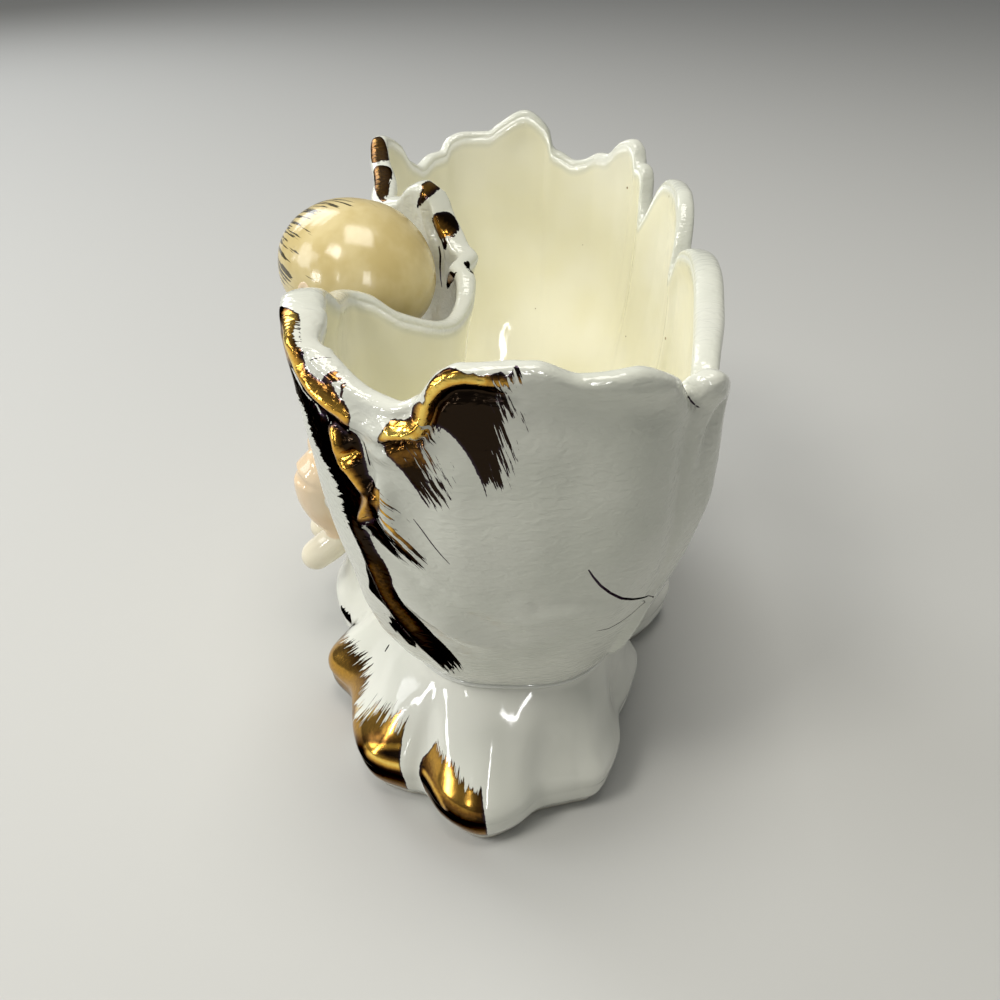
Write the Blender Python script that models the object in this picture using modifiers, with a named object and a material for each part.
"""Oblong porcelain planter: a shell shaped bowl on a ruffled pedestal, with a seated figure.

All lengths are in metres and +Z is up. The long axis of the bowl is X. The figure sits in a
round niche in the front wall, which faces -Y. Each slip cast piece is one object, and the
pieces are luted together with a thin joint, so nothing on the planter moves.
"""
import math

import bmesh
import bpy
import numpy as np
from mathutils import Euler, Matrix, Vector

# Bowl: rim, neck and wall
RIM_LENGTH = 0.198
RIM_BACK_REACH = 0.0505
RIM_FRONT_REACH = 0.0440
RIM_TOP = 0.1430
NEAR_BACK_FULLNESS = 2.95
FAR_BACK_FULLNESS = 2.8
FRONT_FULLNESS = 3.1
BOWL_WALL = 0.0037
BOWL_FLOOR_HEIGHT = 0.0390
NECK_LENGTH = 0.154
NECK_WIDTH = 0.066
NECK_FULLNESS = 3.0
BELLY_HEIGHT = 0.062
FLUTE_SHARE = 0.20
FLUTE_SPACING = 0.012
FLUTE_FADE = 0.80
LIP_FLARE = 0.0012
REACH_START = 0.15
REACH_END = 0.95
LIP_ROUNDING = 0.0022
LIP_DEPTH = 0.0070

# Round niche in the front wall
NICHE_RADIUS = 0.0285
NICHE_CENTRE_Y = -0.0430
NICHE_SHOULDER = 0.0055
NICHE_FOOT_SETBACK = 0.0085

# Pedestal: foot, wall and the seat that stands out in front of the neck
FOOT_LENGTH = 0.1944
FOOT_BACK_REACH = 0.0515
FOOT_FRONT_REACH = 0.0575
FOOT_BULGE_HEIGHT = 0.0090
FOOT_RING_HEIGHT = 0.0030
FOOT_RING_INSET = 0.0035
PEDESTAL_WALL = 0.0042
SEAT_REACH = 0.0500
SEAT_HALF_WIDTH = 0.0220
SEAT_EDGE = 0.0012

# Figure
FIGURE_Y = -0.0390
HEAD_HALF_LENGTH = 0.0226
HEAD_HALF_WIDTH = 0.0196
HEAD_HALF_HEIGHT = 0.0185
HEAD_HEIGHT = 0.1208
HEAD_Y = -0.0433
HEAD_TURN = -40.0
HEAD_NOD = -11.5
CHIN_OVERLAP = 0.6
NECK_RADIUS = 0.0070
TORSO_HALF_WIDTH = 0.0150
TORSO_HALF_DEPTH = 0.0125
SHOULDER_HEIGHT = 0.0960
SHOULDER_SHARE = 0.88
ARM_RADIUS = 0.0054
ARM_TAPER = (1.10, 0.92, 0.69, 0.74)
ELBOW_SPREAD = 0.0195
ELBOW_AHEAD = 0.0020
ELBOW_HEIGHT = 0.0770
WRIST_OUT = 0.0030
WRIST_BEHIND_KNEE = 0.0085
WRIST_OVER_KNEE = 0.0125
HAND_BEHIND_KNEE = 0.0030
HAND_OVER_KNEE = 0.0105
HIP_SHARE = 0.55
HIP_AHEAD = 0.0020
HIP_LIFT = 0.0015
THIGH_RADIUS = 0.0088
KNEE_SHARE = 0.88
SHIN_RADIUS = 0.0062
KNEE_SPREAD = 0.0115
KNEE_REACH = 0.0575
KNEE_HEIGHT = 0.0595
ANKLE_SHARE = 0.78
FOOT_SPREAD_SHARES = (0.80, 0.78, 0.70)
ANKLE_REACH = 0.0535
ANKLE_HEIGHT = 0.0385
TOE_REACH = 0.0634
TOE_HEIGHT = 0.0282
TOE_RADIUS = 0.0050
HEEL_AHEAD = 0.0010
HEEL_HEIGHT = 0.0290
HEEL_SHARE = 0.85

# Joint left between pieces that are luted together
JOINT_GAP = 0.0003

# Crests and dips of the rim, anticlockwise from the near end as seen from above: share of
# the way round, drop below the top of the highest crest, reach out past the plain
# outline, thickness of the lip.
RIM_STATIONS = [
    (0.008, 0.0022, 0.0000, 0.0044),
    (0.024, 0.0052, 0.0000, 0.0042),
    (0.043, 0.0045, 0.0006, 0.0044),
    (0.064, 0.0098, 0.0009, 0.0048),
    (0.0745, 0.0148, 0.0008, 0.0050),
    (0.077, 0.0118, 0.0013, 0.0054),
    (0.082, 0.0110, 0.0019, 0.0058),
    (0.095, 0.0160, 0.0035, 0.0062),
    (0.108, 0.0203, 0.0012, 0.0060),
    (0.113, 0.0183, -0.0004, 0.0060),
    (0.130, 0.0161, -0.0013, 0.0064),
    (0.160, 0.0152, -0.0005, 0.0072),
    (0.200, 0.0122, 0.0004, 0.0072),
    (0.254, 0.0182, -0.0002, 0.0058),
    (0.261, 0.0215, -0.0002, 0.0054),
    (0.266, 0.0272, 0.0000, 0.0052),
    (0.272, 0.0272, 0.0002, 0.0052),
    (0.276, 0.0218, 0.0003, 0.0052),
    (0.297, 0.0110, 0.0008, 0.0052),
    (0.325, 0.0103, 0.0022, 0.0050),
    (0.338, 0.0114, 0.0012, 0.0042),
    (0.354, 0.0240, 0.0000, 0.0038),
    (0.360, 0.0280, 0.0006, 0.0042),
    (0.372, 0.0205, 0.0022, 0.0050),
    (0.376, 0.0148, 0.0022, 0.0050),
    (0.387, 0.0132, 0.0027, 0.0050),
    (0.391, 0.0090, 0.0028, 0.0050),
    (0.398, 0.0070, 0.0026, 0.0048),
    (0.406, 0.0084, 0.0019, 0.0046),
    (0.415, 0.0132, 0.0011, 0.0044),
    (0.423, 0.0136, 0.0006, 0.0042),
    (0.440, 0.0170, 0.0000, 0.0042),
    (0.456, 0.0136, 0.0000, 0.0046),
    (0.460, 0.0072, 0.0000, 0.0048),
    (0.476, 0.0015, 0.0000, 0.0048),
    (0.500, 0.0083, 0.0000, 0.0042),
    (0.529, 0.0098, 0.0000, 0.0042),
    (0.535, 0.0132, 0.0000, 0.0042),
    (0.544, 0.0135, 0.0004, 0.0044),
    (0.558, 0.0160, 0.0015, 0.0046),
    (0.569, 0.0123, 0.0030, 0.0048),
    (0.573, 0.0072, 0.0038, 0.0050),
    (0.585, 0.0034, 0.0059, 0.0054),
    (0.600, 0.0060, 0.0045, 0.0064),
    (0.640, 0.0102, -0.0010, 0.0074),
    (0.660, 0.0120, -0.0008, 0.0076),
    (0.673, 0.0110, 0.0000, 0.0074),
    (0.691, 0.0047, 0.0000, 0.0074),
    (0.708, 0.0150, 0.0000, 0.0068),
    (0.720, 0.0205, 0.0000, 0.0064),
    (0.736, 0.0240, 0.0000, 0.0056),
    (0.766, 0.0305, 0.0000, 0.0042),
    (0.798, 0.0240, 0.0000, 0.0044),
    (0.812, 0.0183, 0.0003, 0.0046),
    (0.870, 0.0080, 0.0024, 0.0062),
    (0.890, 0.0022, 0.0078, 0.0094),
    (0.902, 0.0028, 0.0080, 0.0096),
    (0.920, 0.0058, 0.0069, 0.0064),
    (0.957, 0.0125, 0.0018, 0.0046),
    (0.964, 0.0110, 0.0008, 0.0046),
    (0.974, 0.0044, 0.0000, 0.0048),
    (0.982, 0.0023, 0.0000, 0.0048),
]

# Lobes and pinches of the foot on the +X half, from the front centre round to the back
# centre: share of the half length, share of the reach to the front (below zero) or back.
FOOT_STATIONS = [
    (0.000, -1.000),
    (0.127, -0.965),
    (0.244, -0.880),
    (0.401, -0.950),
    (0.523, -0.815),
    (0.700, -0.750),
    (0.800, -0.660),
    (0.846, -0.508),
    (0.862, -0.410),
    (0.935, -0.322),
    (0.988, -0.200),
    (1.000, -0.090),
    (0.965, 0.045),
    (0.908, 0.165),
    (0.880, 0.330),
    (0.850, 0.470),
    (0.740, 0.562),
    (0.608, 0.590),
    (0.490, 0.680),
    (0.373, 0.725),
    (0.269, 0.660),
    (0.127, 0.900),
    (0.000, 1.000),
]

# Sections of the torso, from the seat up: share of the way to the shoulders, share of the
# half width, share of the half depth.
TORSO_SECTIONS = [
    (0.00, 0.90, 0.90),
    (0.05, 1.02, 1.02),
    (0.20, 1.06, 1.10),
    (0.38, 1.00, 1.08),
    (0.56, 0.90, 0.94),
    (0.74, 0.90, 0.86),
    (0.88, 0.94, 0.80),
    (1.00, 0.78, 0.66),
]

AROUND_BOWL = 144
AROUND_FOOT = 96
AROUND_TORSO = 28
BOWL_LEVELS = (0.0, 0.05, 0.13, 0.24, 0.38, 0.54, 0.70, 0.85, 0.95, 1.0)
INNER_LEVELS = (1.0, 0.92, 0.80, 0.64, 0.46, 0.28, 0.13)
LIP_TURNS = (45, 90, 135)
PEDESTAL_LEVELS = (0.0, 0.14, 0.34, 0.58, 0.80, 1.0)

WHITE_GLAZE = (0.83, 0.83, 0.78)
SKIN_GLAZE = (0.80, 0.62, 0.42)
HAIR_GLAZE = (0.60, 0.49, 0.26)


def superellipse(angles, reach_x, reach_y, power):
    """Points of a rounded oblong whose corners fill out as the power grows."""
    cosine, sine = np.cos(angles), np.sin(angles)
    x = reach_x * np.sign(cosine) * np.abs(cosine) ** (2 / power)
    y = reach_y * np.sign(sine) * np.abs(sine) ** (2 / power)
    return np.stack([x, y], axis=-1)


def even_spacing(points, count):
    """A closed run of points read again at equal steps along its length."""
    closed = np.vstack([points, points[:1]])
    steps = np.linalg.norm(np.diff(closed, axis=0), axis=1)
    length = np.concatenate([[0.0], np.cumsum(steps)])
    places = np.linspace(0.0, length[-1], count, endpoint=False)
    columns = [np.interp(places, length, closed[:, axis]) for axis in range(points.shape[1])]
    return np.stack(columns, axis=-1)


def run_length(points):
    """Length of a closed run of points."""
    return np.linalg.norm(points - np.roll(points, 1, axis=0), axis=1).sum()


def soften(values, steps):
    """A closed run of values averaged with a bell curve that is so many steps wide."""
    half = int(4 * steps)
    offsets = np.arange(-half, half + 1)
    weights = np.exp(-0.5 * (offsets / steps) ** 2)
    weights /= weights.sum()
    return sum(weight * np.roll(values, offset, axis=0) for offset, weight in zip(offsets, weights))


def smooth_step(low, high, value):
    """0 below low, 1 above high, and eased at both ends between them."""
    share = np.clip((value - low) / (high - low), 0, 1)
    return share * share * (3 - 2 * share)


def rounded(stations, values, places):
    """Closed run of values through the stations: cubic, level at the crests, no overshoot."""
    gap = (np.roll(stations, -1) - stations) % 1.0
    slope = (np.roll(values, -1) - values) / gap
    before = np.roll(slope, 1)
    agree = before * slope > 0
    steep = np.where(agree, 2 * before * slope / np.where(agree, before + slope, 1), 0.0)
    k = (np.searchsorted(stations, places, side="right") - 1) % len(stations)
    after = (k + 1) % len(stations)
    share = ((places - stations[k]) % 1.0) / gap[k]
    rise, first, last = values[after] - values[k], steep[k] * gap[k], steep[after] * gap[k]
    return (values[k] + first * share + (3 * rise - 2 * first - last) * share ** 2
            + (first + last - 2 * rise) * share ** 3)


def outward(points):
    """Unit vectors pointing out of a closed run that goes anticlockwise."""
    along = np.roll(points, -1, axis=0) - np.roll(points, 1, axis=0)
    along /= np.linalg.norm(along, axis=1, keepdims=True)
    return np.stack([along[:, 1], -along[:, 0]], axis=-1)


def smooth_closed_curve(points, count):
    """A closed run drawn smoothly through a few points, read at equal steps."""
    previous, following, beyond = (np.roll(points, shift, axis=0) for shift in (1, -1, -2))
    share = np.linspace(0, 1, 24, endpoint=False)[:, None, None]
    curve = 0.5 * (2 * points + (following - previous) * share
                   + (2 * previous - 5 * points + 4 * following - beyond) * share ** 2
                   + (3 * points - previous - 3 * following + beyond) * share ** 3)
    return even_spacing(curve.swapaxes(0, 1).reshape(-1, points.shape[1]), count)


def plain_rim_outline(count):
    """The bowl's outline without crests: an oblong with a round niche taken from its front."""
    half_length = RIM_LENGTH / 2
    quarter = np.linspace(0, math.pi / 2, 300)
    near_back = superellipse(quarter, half_length, RIM_BACK_REACH, NEAR_BACK_FULLNESS)
    far_back = superellipse(quarter + math.pi / 2, half_length, RIM_BACK_REACH,
                            FAR_BACK_FULLNESS)[1:]
    front = superellipse(np.linspace(math.pi, 2 * math.pi, 800), half_length,
                         RIM_FRONT_REACH, FRONT_FULLNESS)
    clear = np.hypot(front[:, 0], front[:, 1] - NICHE_CENTRE_Y) > NICHE_RADIUS
    far_front = front[clear & (front[:, 0] < 0)]
    near_front = front[clear & (front[:, 0] > 0)]
    start = math.atan2(far_front[-1, 1] - NICHE_CENTRE_Y, far_front[-1, 0]) % (2 * math.pi)
    end = math.atan2(near_front[0, 1] - NICHE_CENTRE_Y, near_front[0, 0])
    turn = np.linspace(start, end, 200)[1:-1]
    niche = np.stack([np.cos(turn), np.sin(turn)], axis=-1) * NICHE_RADIUS
    niche[:, 1] += NICHE_CENTRE_Y
    points = even_spacing(np.vstack([near_back, far_back, far_front, niche, near_front[:-1]]), 1600)
    points = soften(points, NICHE_SHOULDER * len(points) / run_length(points))
    points[:, 0] *= half_length / np.abs(points[:, 0]).max()
    return even_spacing(points, count)


def rim_drawing():
    """The rim read at every column: plain plan, way out, height, reach, relief and lip."""
    plan = plain_rim_outline(AROUND_BOWL)
    places = np.arange(AROUND_BOWL) / AROUND_BOWL
    stations, *columns = np.transpose(RIM_STATIONS)
    drop, reach, lip = (rounded(stations, column, places) for column in columns)
    relief = soften(drop, FLUTE_SPACING * AROUND_BOWL / run_length(plan)) - drop
    return plan, outward(plan), RIM_TOP - drop, reach, relief, lip


def bowl_wall(rim, level):
    """The bowl's outer face at some levels, each 0 at the neck and 1 below the rounded lip."""
    plan, out, height, reach, relief, lip = rim
    height = height - np.minimum(lip / 2, LIP_ROUNDING)
    share_x = np.clip(plan[:, 0] / (RIM_LENGTH / 2), -1, 1)
    side = np.where(plan[:, 1] >= 0, 1, -1)
    in_niche = np.exp(-(plan[:, 0] / NICHE_RADIUS / 1.15) ** 4) * (plan[:, 1] < 0)
    neck_y = side * (1 - np.abs(share_x) ** NECK_FULLNESS) ** (1 / NECK_FULLNESS)
    neck_y = neck_y * NECK_WIDTH / 2 + NICHE_FOOT_SETBACK * in_niche
    neck = np.stack([share_x * NECK_LENGTH / 2, neck_y], axis=-1)

    full = (height - BOWL_FLOOR_HEIGHT) / BELLY_HEIGHT
    belly = 1 - (1 - np.clip(full * level, 0, 1)) ** 2
    belly /= 1 - (1 - np.clip(full, 0, 1)) ** 2
    share = belly * (1 - in_niche) + level * in_niche
    push = reach * smooth_step(REACH_START, REACH_END, level) + LIP_FLARE * level ** 8
    push = push + FLUTE_SHARE * relief * smooth_step(0, FLUTE_FADE, level)
    face = neck + (plan - neck) * share[..., None] + out * push[..., None]
    rise = (height - BOWL_FLOOR_HEIGHT) * level
    return np.concatenate([face, (BOWL_FLOOR_HEIGHT + rise)[..., None]], axis=-1)


def facing(rings):
    """Level unit vectors out of a wall of rings, and how steeply the wall stands there."""
    across = np.roll(rings, -1, axis=1) - np.roll(rings, 1, axis=1)
    normal = np.cross(across, np.gradient(rings, axis=0))
    normal /= np.linalg.norm(normal, axis=-1, keepdims=True)
    steepness = np.hypot(normal[..., 0], normal[..., 1])[..., None]
    return normal * (1, 1, 0) / steepness, steepness


def bowl_rings():
    """Rings of the bowl: up the outside, over the rounded lip and down the inside."""
    rim = rim_drawing()
    _, out, height, _, _, lip = rim
    out = np.column_stack([out, np.zeros(AROUND_BOWL)])
    lip = lip[:, None]
    up = np.array([0.0, 0.0, 1.0]) * np.minimum(lip / 2, LIP_ROUNDING)

    every_column = np.ones(AROUND_BOWL)
    outer = bowl_wall(rim, np.outer(BOWL_LEVELS, every_column))
    turns = [math.radians(turn) for turn in LIP_TURNS]
    over = [outer[-1] - out * lip / 2 * (1 - math.cos(turn)) + up * math.sin(turn)
            for turn in turns]

    floor_level = BOWL_WALL / (outer[-1][:, 2] - BOWL_FLOOR_HEIGHT)
    face = bowl_wall(rim, np.vstack([np.outer(INNER_LEVELS, every_column), floor_level]))
    way_out, steepness = facing(face[::-1])
    depth = (height - face[..., 2])[..., None]
    wall = BOWL_WALL + (lip - BOWL_WALL) * np.exp(-(depth / LIP_DEPTH) ** 2)
    inner = face - way_out[::-1] * wall / steepness[::-1]
    inner += (outer[-1] - out * lip - inner[0]) * np.exp(-(depth - depth[0]) / LIP_DEPTH)
    return [*outer, *over, *inner]


def foot_outline():
    """The lobed outline of the foot: the stations of one half, mirrored onto the other."""
    half = np.array(FOOT_STATIONS)
    half[:, 0] *= FOOT_LENGTH / 2
    half[:, 1] *= np.where(half[:, 1] < 0, FOOT_FRONT_REACH, FOOT_BACK_REACH)
    mirrored = half[-2:0:-1] * (-1, 1)
    return smooth_closed_curve(np.vstack([half, mirrored]), AROUND_FOOT)


def pedestal_top_outline(foot):
    """The neck's oval with the seat standing out in front, point for point with the foot."""
    reach = np.where(foot[:, 1] < 0, FOOT_FRONT_REACH, FOOT_BACK_REACH)
    angle = np.arctan2(foot[:, 1] / reach, foot[:, 0] / (FOOT_LENGTH / 2))
    x, y = superellipse(angle, NECK_LENGTH / 2, NECK_WIDTH / 2, NECK_FULLNESS).T
    bump = np.clip(1 - (x / SEAT_HALF_WIDTH) ** 4, 0, 1) * (y < 0)
    return np.stack([x, y - (SEAT_REACH - NECK_WIDTH / 2) * bump], axis=-1)


def pedestal_rings(grow=0.0):
    """Rings of the pedestal's outer face, from the flat top down to the foot ring."""
    foot = foot_outline()
    top = pedestal_top_outline(foot)
    foot = foot + outward(foot) * grow
    top = top + outward(top) * grow
    top_height = BOWL_FLOOR_HEIGHT - JOINT_GAP + grow
    rings = [np.column_stack([top - outward(top) * SEAT_EDGE, np.full(AROUND_FOOT, top_height)])]
    shoulder = top_height - SEAT_EDGE
    for level in PEDESTAL_LEVELS:
        spread = math.sin(level * math.pi / 2) ** 1.2
        height = shoulder + (FOOT_BULGE_HEIGHT - shoulder) * level
        rings.append(np.column_stack([top + (foot - top) * spread, np.full(AROUND_FOOT, height)]))
    for turn in (40, 90):
        inset = FOOT_RING_INSET * (1 - math.cos(math.radians(turn)))
        fall = math.sin(math.radians(turn)) * (FOOT_BULGE_HEIGHT - FOOT_RING_HEIGHT)
        height = np.full(AROUND_FOOT, FOOT_BULGE_HEIGHT - fall)
        rings.append(np.column_stack([foot - outward(foot) * inset, height]))
    rings.append(np.column_stack([rings[-1][:, :2], np.zeros(AROUND_FOOT)]))
    return rings


def glaze(name, colour, roughness):
    """A plain glaze for one piece."""
    material = bpy.data.materials.new(name)
    material.use_nodes = True
    shader = material.node_tree.nodes["Principled BSDF"]
    shader.inputs["Base Color"].default_value = (*colour, 1.0)
    shader.inputs["Roughness"].default_value = roughness
    shader.inputs["Metallic"].default_value = 0.0
    return material


def new_collection(name):
    """A collection linked to the scene."""
    collection = bpy.data.collections.new(name)
    bpy.context.scene.collection.children.link(collection)
    return collection


def new_object(name, mesh, collection):
    """An object for a mesh, shaded smooth except at its sharp edges."""
    mesh.shade_smooth()
    mesh.set_sharp_from_angle(angle=math.radians(50))
    made = bpy.data.objects.new(name, mesh)
    collection.objects.link(made)
    return made


def loft(name, rings, close_start, close_end):
    """A mesh through closed rings of equal count, each end open or closed by a centre point."""
    mesh = bmesh.new()
    rows = [[mesh.verts.new(point) for point in ring] for ring in rings]
    count = len(rows[0])
    for lower, upper in zip(rows, rows[1:]):
        for k in range(count):
            following = (k + 1) % count
            mesh.faces.new((lower[k], lower[following], upper[following], upper[k]))
    if close_start:
        centre = mesh.verts.new(np.mean(rings[0], axis=0))
        for k in range(count):
            mesh.faces.new((centre, rows[0][(k + 1) % count], rows[0][k]))
    if close_end:
        centre = mesh.verts.new(np.mean(rings[-1], axis=0))
        for k in range(count):
            mesh.faces.new((centre, rows[-1][k], rows[-1][(k + 1) % count]))
    bmesh.ops.recalc_face_normals(mesh, faces=mesh.faces)
    data = bpy.data.meshes.new(name)
    mesh.to_mesh(data)
    mesh.free()
    return data


def shell(name, rings, wall, collection):
    """A slip cast shell: the lofted outer face, closed at its first ring, thickened inwards."""
    made = new_object(name, loft(name, rings, True, False), collection)
    thicken = made.modifiers.new("slip cast wall", "SOLIDIFY")
    thicken.thickness = wall
    thicken.offset = -1
    thicken.use_even_offset = True
    thicken.use_quality_normals = True
    return made


def ball_points(centre, radii, turn=(0, 0, 0), around=16, rows=10):
    """Points on a ball or an egg, turned about its centre by angles in degrees."""
    down = np.linspace(0, math.pi, rows + 1)[1:-1]
    about = np.arange(around) * 2 * math.pi / around
    down, about = np.meshgrid(down, about, indexing="ij")
    body = np.stack([np.sin(down) * np.cos(about), np.sin(down) * np.sin(about), np.cos(down)], -1)
    points = np.vstack([body.reshape(-1, 3), [[0, 0, 1], [0, 0, -1]]]) * radii
    matrix = np.array(Euler([math.radians(angle) for angle in turn]).to_matrix())
    return points @ matrix.T + centre


def hull(name, points, collection):
    """The tight skin round some points, such as two balls that make a tapered limb."""
    mesh = bmesh.new()
    for point in points:
        mesh.verts.new(point)
    skin = bmesh.ops.convex_hull(mesh, input=mesh.verts)
    inside = [item for item in skin["geom_interior"] if isinstance(item, bmesh.types.BMVert)]
    bmesh.ops.delete(mesh, geom=inside, context="VERTS")
    data = bpy.data.meshes.new(name)
    mesh.to_mesh(data)
    mesh.free()
    return new_object(name, data, collection)


def fused(name, pieces, collection):
    """One object made of several that run into each other."""
    base = pieces[0]
    for piece in pieces[1:]:
        join = base.modifiers.new("join", "BOOLEAN")
        join.operation = "UNION"
        join.object = piece
    bpy.context.view_layer.update()
    evaluated = base.evaluated_get(bpy.context.evaluated_depsgraph_get())
    data = bpy.data.meshes.new_from_object(evaluated)
    data.name = name
    for piece in pieces:
        bpy.data.objects.remove(piece)
    return new_object(name, data, collection)


def cut(target, cutter):
    """Take a neighbour's grown shape out of a piece."""
    trim = target.modifiers.new("trim by " + cutter.name, "BOOLEAN")
    trim.operation = "DIFFERENCE"
    trim.object = cutter
    cutter.hide_render = True
    cutter.display_type = "WIRE"


def spine_y(height):
    """Where the figure's middle lies at a height: it leans forward from the seat to the head."""
    rise = (height - BOWL_FLOOR_HEIGHT) / (HEAD_HEIGHT - BOWL_FLOOR_HEIGHT)
    return FIGURE_Y + (HEAD_Y - FIGURE_Y) * rise


def torso(name, collection, grow=0.0):
    """The seated body, from the seat to the top of the neck, grown all round by a clearance."""
    around = np.arange(AROUND_TORSO) * 2 * math.pi / AROUND_TORSO
    circle = np.stack([np.cos(around), np.sin(around)], axis=-1)
    rings = []
    for share, width, depth in TORSO_SECTIONS:
        radii = (width * TORSO_HALF_WIDTH + grow, depth * TORSO_HALF_DEPTH + grow)
        height = BOWL_FLOOR_HEIGHT + (SHOULDER_HEIGHT - BOWL_FLOOR_HEIGHT) * share
        rings.append(np.column_stack([circle * radii, np.full(AROUND_TORSO, height)]))
    rings[0][:, 2] -= grow
    neck_top = HEAD_HEIGHT - HEAD_HALF_HEIGHT * CHIN_OVERLAP
    for share in (0.45, 1.0):
        height = SHOULDER_HEIGHT + (neck_top - SHOULDER_HEIGHT) * share
        ring = circle * (NECK_RADIUS + grow)
        rings.append(np.column_stack([ring, np.full(AROUND_TORSO, height)]))
    for ring in rings:
        ring[:, 1] += spine_y(ring[:, 2])
    return new_object(name, loft(name, rings, True, True), collection)


def head_ball(name, collection, grow=0.0):
    """The plain ball of the head, used to hollow out its seat on the neck."""
    radii = np.array((HEAD_HALF_WIDTH, HEAD_HALF_LENGTH, HEAD_HALF_HEIGHT)) + grow
    points = ball_points((0, HEAD_Y, HEAD_HEIGHT), radii, (HEAD_NOD, 0, HEAD_TURN), 28, 18)
    return hull(name, points, collection)


def head(name, collection):
    """The head: a ball drawn out into a chin, cheeks and a small nose, with locks of hair."""
    mesh = bmesh.new()
    bmesh.ops.create_uvsphere(mesh, u_segments=36, v_segments=24, radius=1.0)
    for vertex in mesh.verts:
        x, y, z = vertex.co
        around = math.atan2(x, -y)
        face = max(0.0, -y) ** 2
        scale = 1 - 0.05 * face * max(0.0, z) - 0.04 * max(0.0, -z)
        scale += 0.05 * math.exp(-((x / 0.13) ** 2 + ((z + 0.12) / 0.12) ** 2)) * (y < 0)
        hair_line = 0.35 * math.cos(around) - 0.05
        hair = min(max((z - hair_line) / 0.12, 0.0), 1.0)
        locks = 0.018 * math.cos(7 * around + 5 * z) * max(0.0, 1 - z * z)
        scale += hair * (0.035 + locks)
        vertex.co = vertex.co * scale
    turn = Matrix.Rotation(math.radians(HEAD_TURN), 4, "Z")
    nod = Matrix.Rotation(math.radians(HEAD_NOD), 4, "X")
    place = Matrix.Translation((0, HEAD_Y, HEAD_HEIGHT))
    size = Matrix.Diagonal((HEAD_HALF_WIDTH, HEAD_HALF_LENGTH, HEAD_HALF_HEIGHT, 1))
    bmesh.ops.transform(mesh, matrix=place @ turn @ nod @ size, verts=mesh.verts)
    data = bpy.data.meshes.new(name)
    mesh.to_mesh(data)
    mesh.free()
    return new_object(name, data, collection)


def limb_part(name, start, end, radii, collection, grow=0.0):
    """A tapered length of limb between two points."""
    balls = [ball_points(place, np.full(3, radius + grow))
             for place, radius in zip((start, end), radii)]
    return hull(name, np.vstack(balls), collection)


def leg(name, side, collection, grow=0.0):
    """A bent leg: thigh over the seat, shin down in front of it, and the foot."""
    hip = Vector((side * TORSO_HALF_WIDTH * HIP_SHARE, FIGURE_Y - HIP_AHEAD,
                  BOWL_FLOOR_HEIGHT + THIGH_RADIUS + HIP_LIFT))
    knee = Vector((side * KNEE_SPREAD, -KNEE_REACH, KNEE_HEIGHT))
    at_ankle, at_heel, at_toe = (side * KNEE_SPREAD * share for share in FOOT_SPREAD_SHARES)
    ankle = Vector((at_ankle, -ANKLE_REACH, ANKLE_HEIGHT))
    heel = Vector((at_heel, -ANKLE_REACH - HEEL_AHEAD, HEEL_HEIGHT))
    toe = Vector((at_toe, -TOE_REACH, TOE_HEIGHT))
    knee_radius = THIGH_RADIUS * KNEE_SHARE
    ankle_radius = SHIN_RADIUS * ANKLE_SHARE
    thigh = limb_part("thigh", hip, knee, (THIGH_RADIUS, knee_radius), collection, grow)
    shin = limb_part("shin", knee, ankle, (knee_radius, ankle_radius), collection, grow)
    balls = [ball_points(place, np.full(3, radius + grow)) for place, radius in
             ((ankle, ankle_radius), (heel, SHIN_RADIUS * HEEL_SHARE), (toe, TOE_RADIUS))]
    sole = hull("sole", np.vstack(balls), collection)
    return fused(name, [thigh, shin, sole], collection)


def arm(name, side, collection):
    """A bent arm with its hand resting on the thigh."""
    shoulder_height = SHOULDER_HEIGHT - ARM_RADIUS
    shoulder = Vector((side * TORSO_HALF_WIDTH * SHOULDER_SHARE, spine_y(shoulder_height),
                       shoulder_height))
    elbow = Vector((side * ELBOW_SPREAD, spine_y(ELBOW_HEIGHT) - ELBOW_AHEAD, ELBOW_HEIGHT))
    wrist = Vector((side * (KNEE_SPREAD + WRIST_OUT), WRIST_BEHIND_KNEE - KNEE_REACH,
                    KNEE_HEIGHT + WRIST_OVER_KNEE))
    hand = Vector((side * KNEE_SPREAD, HAND_BEHIND_KNEE - KNEE_REACH,
                   KNEE_HEIGHT + HAND_OVER_KNEE))
    at_shoulder, at_elbow, at_wrist, at_hand = (ARM_RADIUS * share for share in ARM_TAPER)
    upper = limb_part("upper", shoulder, elbow, (at_shoulder, at_elbow), collection)
    fore = limb_part("fore", elbow, wrist, (at_elbow, at_wrist), collection)
    palm = limb_part("palm", wrist, hand, (at_wrist, at_hand), collection)
    return fused(name, [upper, fore, palm], collection)


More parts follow.
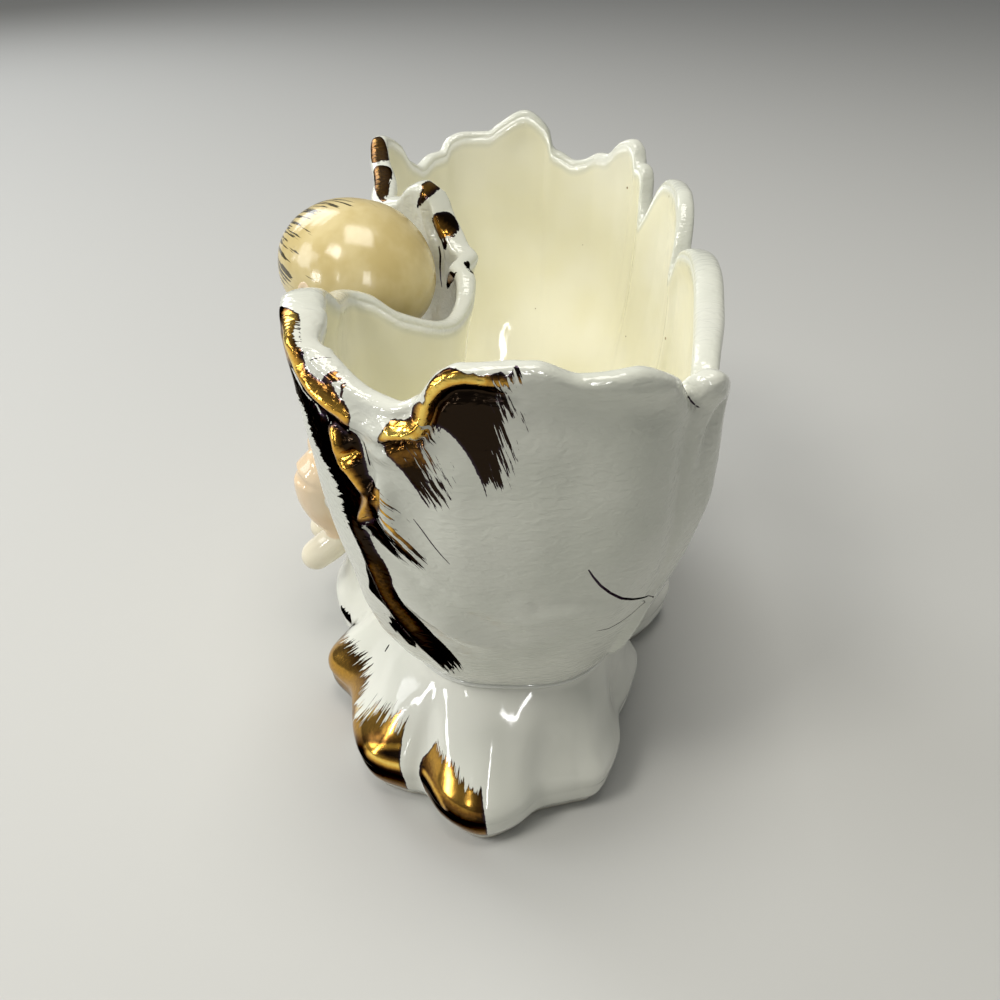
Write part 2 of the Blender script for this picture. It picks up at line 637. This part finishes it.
def stand_at_origin(parts, frame):
    """Shift the planter so that its bounds are centred over the origin, standing on z = 0."""
    bpy.context.view_layer.update()
    graph = bpy.context.evaluated_depsgraph_get()
    corners = []
    for part in parts:
        mesh = part.evaluated_get(graph).to_mesh()
        points = np.empty(len(mesh.vertices) * 3, dtype=np.float32)
        mesh.vertices.foreach_get("co", points)
        points = points.reshape(-1, 3)
        corners += [points.min(axis=0), points.max(axis=0)]
    low, high = np.min(corners, axis=0), np.max(corners, axis=0)
    frame.location = (-(low[0] + high[0]) / 2, -(low[1] + high[1]) / 2, -low[2])


def build():
    """Make every piece of the planter."""
    for stale in list(bpy.data.objects):
        bpy.data.objects.remove(stale)
    planter = new_collection("oblong_planter")
    cutters = new_collection("cutters")

    bowl = new_object("bowl", loft("bowl", bowl_rings(), True, True), planter)
    pedestal = shell("pedestal", pedestal_rings(), PEDESTAL_WALL, planter)
    body = torso("torso", planter)
    crown = head("head", planter)
    legs = [leg(name, side, planter) for name, side in (("left_leg", 1), ("right_leg", -1))]
    arms = [arm(name, side, planter) for name, side in (("left_arm", 1), ("right_arm", -1))]

    body_space = torso("body_space", cutters, JOINT_GAP)
    leg_spaces = [leg(name, side, cutters, JOINT_GAP)
                  for name, side in (("left_leg_space", 1), ("right_leg_space", -1))]
    rings = pedestal_rings(JOINT_GAP)
    seat_space = new_object("seat_space", loft("seat_space", rings, True, True), cutters)
    cut(body, head_ball("head_space", cutters, JOINT_GAP))
    for limb in legs:
        cut(limb, body_space)
        cut(limb, seat_space)
    for limb, leg_space in zip(arms, leg_spaces):
        cut(limb, body_space)
        cut(limb, leg_space)

    glazes = {
        "bowl": glaze("white glaze on the bowl", WHITE_GLAZE, 0.12),
        "pedestal": glaze("white glaze on the pedestal", WHITE_GLAZE, 0.12),
        "torso": glaze("skin tint on the torso", SKIN_GLAZE, 0.30),
        "head": glaze("hair tint on the head", HAIR_GLAZE, 0.30),
        "left_leg": glaze("skin tint on the left leg", SKIN_GLAZE, 0.30),
        "right_leg": glaze("skin tint on the right leg", SKIN_GLAZE, 0.30),
        "left_arm": glaze("skin tint on the left arm", SKIN_GLAZE, 0.30),
        "right_arm": glaze("skin tint on the right arm", SKIN_GLAZE, 0.30),
    }
    frame = bpy.data.objects.new("planter_frame", None)
    planter.objects.link(frame)
    parts = [bowl, pedestal, body, crown, *legs, *arms]
    for part in parts:
        part.data.materials.clear()
        part.data.materials.append(glazes[part.name])
    stand_at_origin(parts, frame)
    for part in parts + list(cutters.objects):
        part.parent = frame


build()
